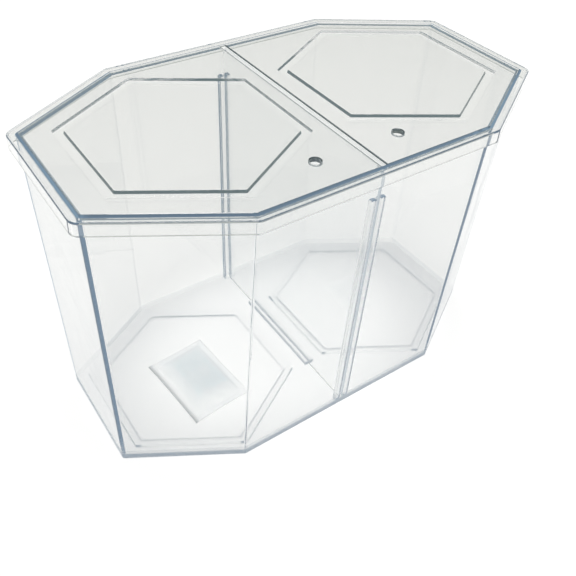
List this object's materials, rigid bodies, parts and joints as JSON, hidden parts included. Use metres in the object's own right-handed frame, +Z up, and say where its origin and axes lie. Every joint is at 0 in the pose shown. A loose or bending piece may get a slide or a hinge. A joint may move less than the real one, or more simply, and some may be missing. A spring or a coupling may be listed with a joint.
{
  "type": "dual betta tank",
  "caption": "Small clear plastic fish tank with two six-sided compartments, a lift-out divider in moulded guides and a drop-in lid with an air-line hole over each.",
  "frame": {"origin": "middle of the flat base, on the surface the tank stands on", "axes": "+X along the row of the two compartments towards the right-hand one, +Y from the front long wall (with the air holes) to the back, +Z up out of the tank"},
  "size_m": [0.24, 0.136, 0.152],
  "materials": {
    "tank_body": "clear gloss",
    "divider": "clear gloss",
    "lid_left": "clear gloss",
    "lid_right": "clear gloss",
    "sachet": "satin film"
  },
  "bodies": {
    "tank": {"tank_body": "tank_body"},
    "left_lid": {"lid_left": "lid_left"},
    "right_lid": {"lid_right": "lid_right"},
    "divider": {"divider": "divider"},
    "sachet": {"sachet": "sachet"}
  },
  "joints": [
    {"name": "lid_left_lift", "type": "slide", "parent": "tank", "child": "left_lid", "axis": [0, 0, 1], "range_m": [0, 0.06]},
    {"name": "lid_right_lift", "type": "slide", "parent": "tank", "child": "right_lid", "axis": [0, 0, 1], "range_m": [0, 0.06]},
    {"name": "divider_lift", "type": "slide", "parent": "tank", "child": "divider", "axis": [0, 0, 1], "range_m": [0, 0.16]},
    {"name": "sachet_lift", "type": "slide", "parent": "tank", "child": "sachet", "axis": [0, 0, 1], "range_m": [0, 0.13]}
  ]
}
